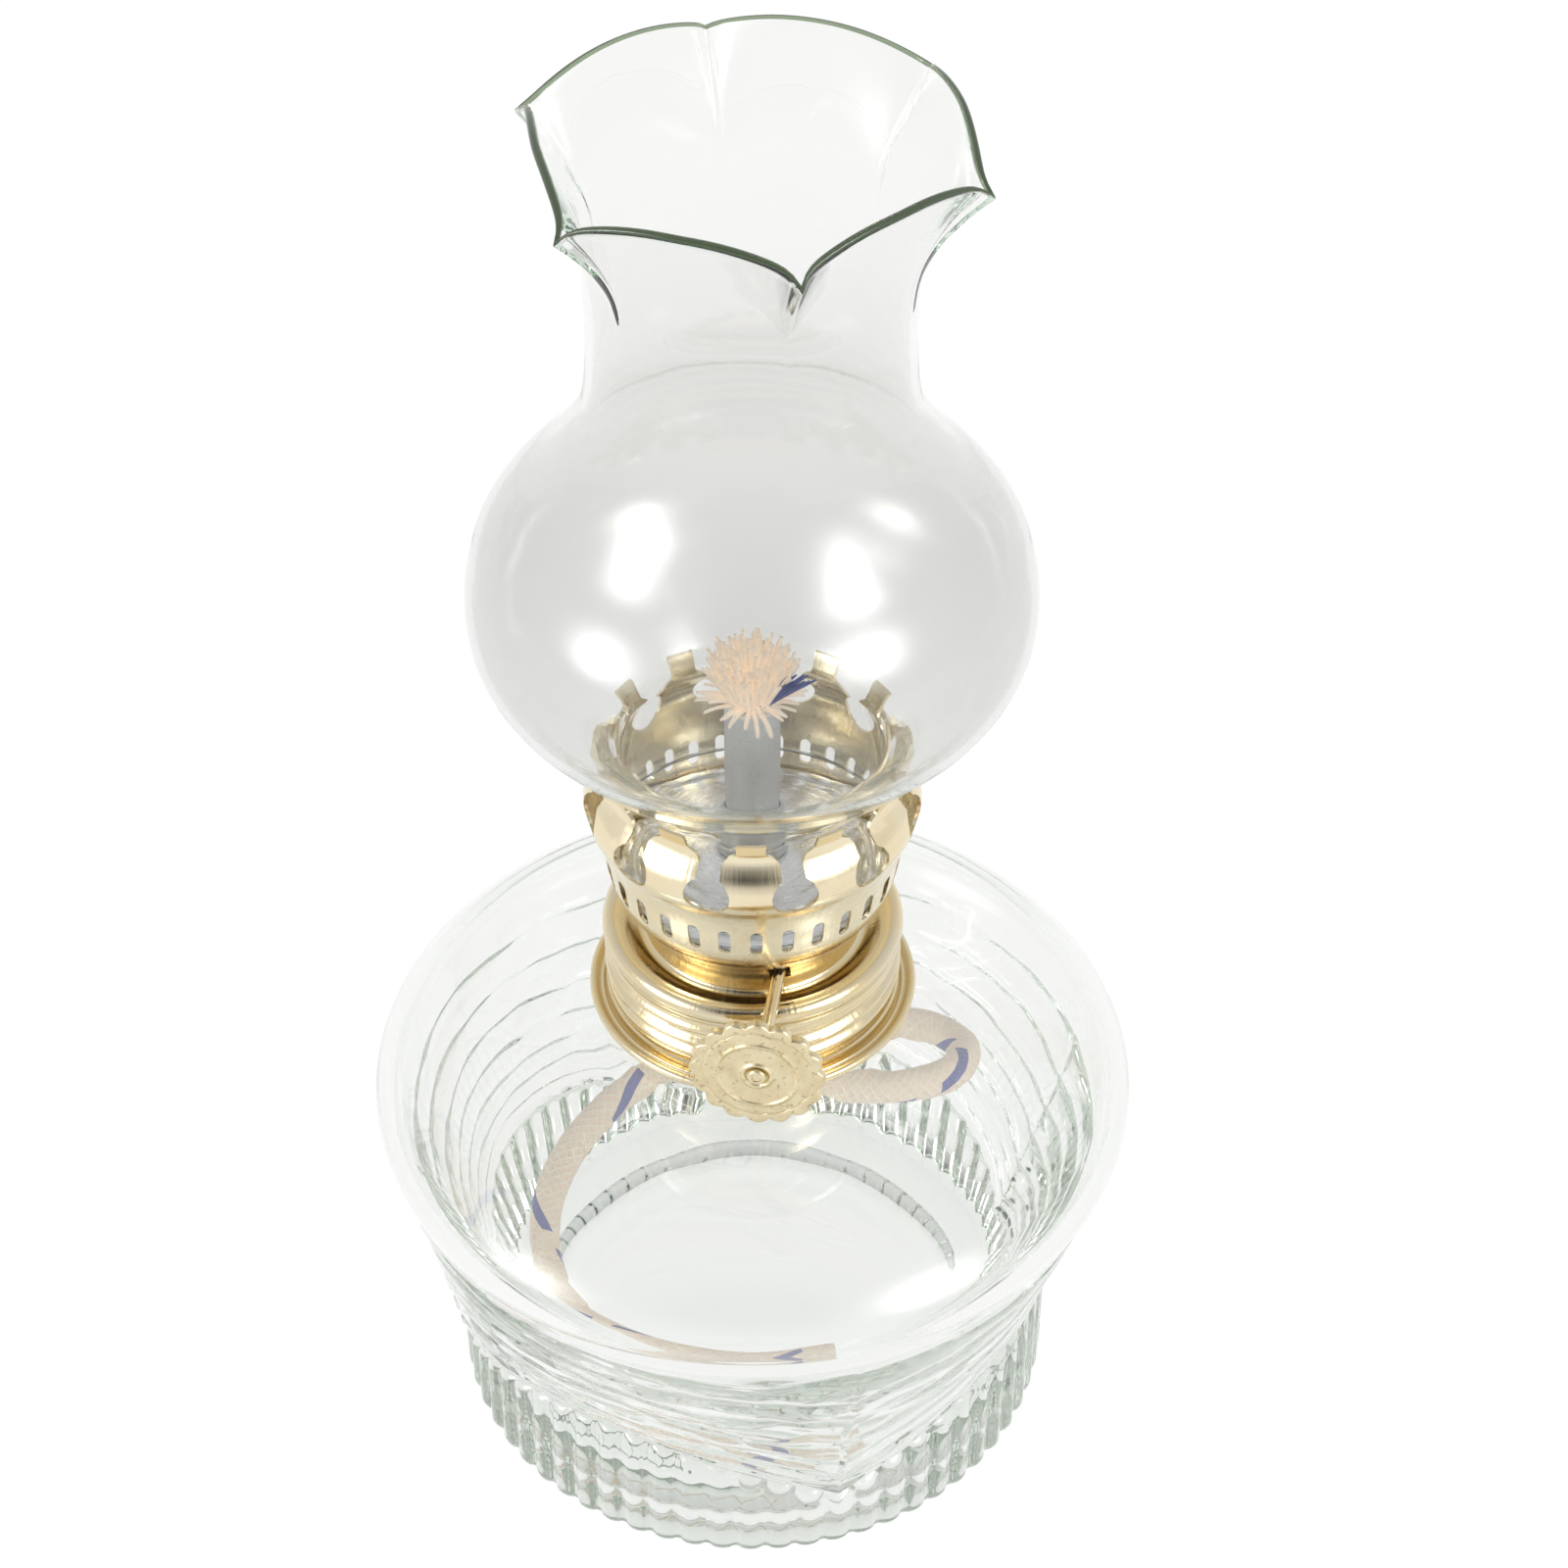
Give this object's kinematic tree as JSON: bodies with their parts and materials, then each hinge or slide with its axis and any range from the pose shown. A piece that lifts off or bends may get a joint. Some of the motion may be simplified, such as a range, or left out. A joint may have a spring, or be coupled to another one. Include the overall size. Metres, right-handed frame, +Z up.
{
  "type": "oil lamp",
  "caption": "Round-wick table oil lamp: fluted pressed-glass font, screw-on brass burner with pronged gallery and wick raiser knob, ruffled clear glass chimney.",
  "frame": {"origin": "middle of the foot's underside, on the table", "axes": "+Z up the lamp's axis, -Y towards the wick raiser knob, +X to the right of someone who faces the knob"},
  "size_m": [0.1088, 0.1088, 0.2124],
  "materials": {
    "clear_glass": "thick pressed soda glass, faint green in its edges",
    "thin_glass": "thin blown glass with a fire-polished rim",
    "plated_brass": "bright plated sheet brass with fine forming scratches",
    "tinned_steel": "turned and lightly brushed sheet",
    "zinc_tube": "dull grey drawn tube",
    "seal_rubber": "matt black seal",
    "cotton": "braided undyed cotton",
    "blue_cotton": "blue tracer thread"
  },
  "bodies": {
    "font": {"glass_font": "clear_glass", "wick_tail": "cotton"},
    "seal": {"seal_washer": "seal_rubber"},
    "burner": {"screw_cap": "plated_brass", "crown_gallery": "plated_brass", "deck_plate": "tinned_steel", "tube_collar": "zinc_tube", "base_plate": "tinned_steel", "wick_tube": "zinc_tube", "raiser_bracket": "tinned_steel"},
    "raiser": {"raiser_shaft": "plated_brass", "knob_hub": "plated_brass", "knob_rivet": "plated_brass", "knob_disc": "plated_brass", "raiser_wheel_front": "tinned_steel", "raiser_wheel_back": "tinned_steel"},
    "wick": {"wick_core": "cotton", "wick_fray": "cotton", "wick_tracer": "blue_cotton"},
    "chimney": {"chimney": "thin_glass"}
  },
  "joints": [
    {"name": "burner_lift", "type": "slide", "parent": "font", "child": "seal", "axis": [0, 0, 1], "range_m": [0, 0.005]},
    {"name": "burner_turn", "type": "hinge", "parent": "seal", "child": "burner", "pos_m": [0, 0, 0.08], "axis": [0, 0, 1], "range_deg": [0, 720]},
    {"name": "knob_turn", "type": "hinge", "parent": "burner", "child": "raiser", "pos_m": [0.00579, -0.00084, 0.0895], "axis": [0.1444, 0.9895, 0], "range_deg": [0, 180]},
    {"name": "wick_feed", "type": "slide", "parent": "burner", "child": "wick", "axis": [0, 0, 1], "range_m": [0, 0.0095]},
    {"name": "chimney_lift", "type": "slide", "parent": "burner", "child": "chimney", "axis": [0, 0, 1], "range_m": [0, 0.06]}
  ],
  "couplings": [
    {"joint": "burner_lift", "follows": "burner_turn", "m_per_rad": 0.00039789},
    {"joint": "wick_feed", "follows": "knob_turn", "m_per_rad": 0.003}
  ]
}
